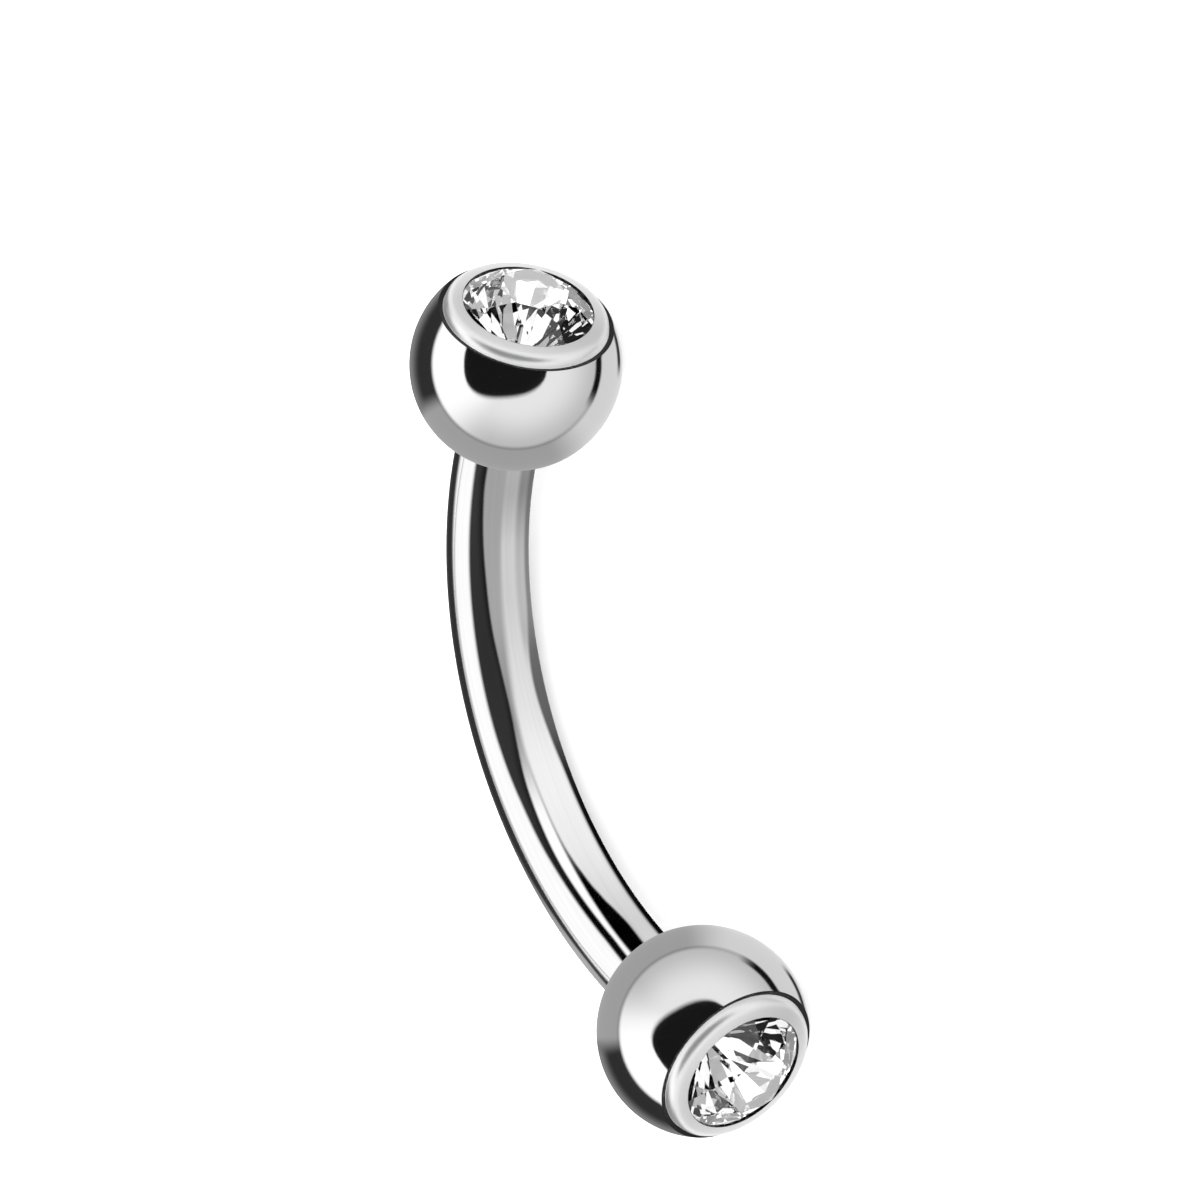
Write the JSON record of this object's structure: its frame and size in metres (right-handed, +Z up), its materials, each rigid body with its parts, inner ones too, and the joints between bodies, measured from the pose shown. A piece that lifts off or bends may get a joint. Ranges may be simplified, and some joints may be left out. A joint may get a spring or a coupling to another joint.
{
  "type": "curved eyebrow barbell",
  "caption": "Bent round steel bar with a screw-on ball at each end, each ball holding a clear round brilliant in a raised collar.",
  "frame": {"origin": "centre of the bottom of the bounding box, on the surface that the barbell rests on", "axes": "+Z up; +X along the straight line from the lower ball to the upper ball; the hollow side of the bend faces -Y and the bend's middle touches the surface towards +Y"},
  "size_m": [0.013, 0.0046, 0.0031],
  "materials": {
    "polished_steel": "mirror polished surgical steel",
    "clear_crystal": "clear cut crystal, foiled behind"
  },
  "bodies": {
    "bar": {"curved_bar": "polished_steel"},
    "upper_end": {"upper_ball": "polished_steel", "upper_stone": "clear_crystal"},
    "lower_end": {"lower_ball": "polished_steel", "lower_stone": "clear_crystal"}
  },
  "joints": [
    {"name": "upper_ball_turn", "type": "hinge", "parent": "bar", "child": "upper_end", "pos_m": [0.00503, -0.00077, 0.00155], "axis": [0.7133, -0.6544, 0.2511], "range_deg": [0, 1512]},
    {"name": "lower_ball_turn", "type": "hinge", "parent": "bar", "child": "lower_end", "pos_m": [-0.00503, -0.00077, 0.00155], "axis": [-0.7133, -0.6544, 0.2511], "range_deg": [0, 1512]}
  ]
}
